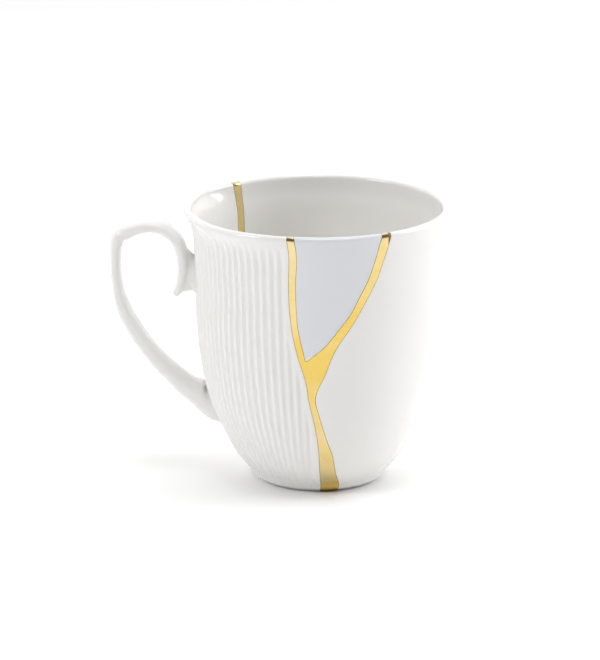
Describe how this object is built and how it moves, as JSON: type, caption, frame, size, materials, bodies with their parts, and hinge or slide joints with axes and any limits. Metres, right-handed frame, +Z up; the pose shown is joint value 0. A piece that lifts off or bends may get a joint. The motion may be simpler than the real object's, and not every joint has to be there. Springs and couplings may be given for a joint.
{
  "type": "mug",
  "caption": "Porcelain mug made of mended shards, half fluted and half plain, joined by a gold seam, with a curled strip handle",
  "frame": {"origin": "middle of the mug's bounding footprint, handle included, on the surface that it stands on; the cup's own axis is 13.5 mm towards +X", "axes": "+Z up along the cup's axis, +X away from the handle, so the handle points to -X, and -Y is the front with the forked gold seam"},
  "size_m": [0.1176, 0.0904, 0.0967],
  "materials": {
    "fluted_porcelain": "gloss",
    "pale_porcelain": "gloss",
    "plain_porcelain": "gloss",
    "seam_gold": "polished"
  },
  "bodies": {
    "root": {"ribbed_shard": "fluted_porcelain", "pale_shard": "pale_porcelain", "smooth_shard": "plain_porcelain", "gold_seam": "seam_gold"}
  },
  "joints": []
}
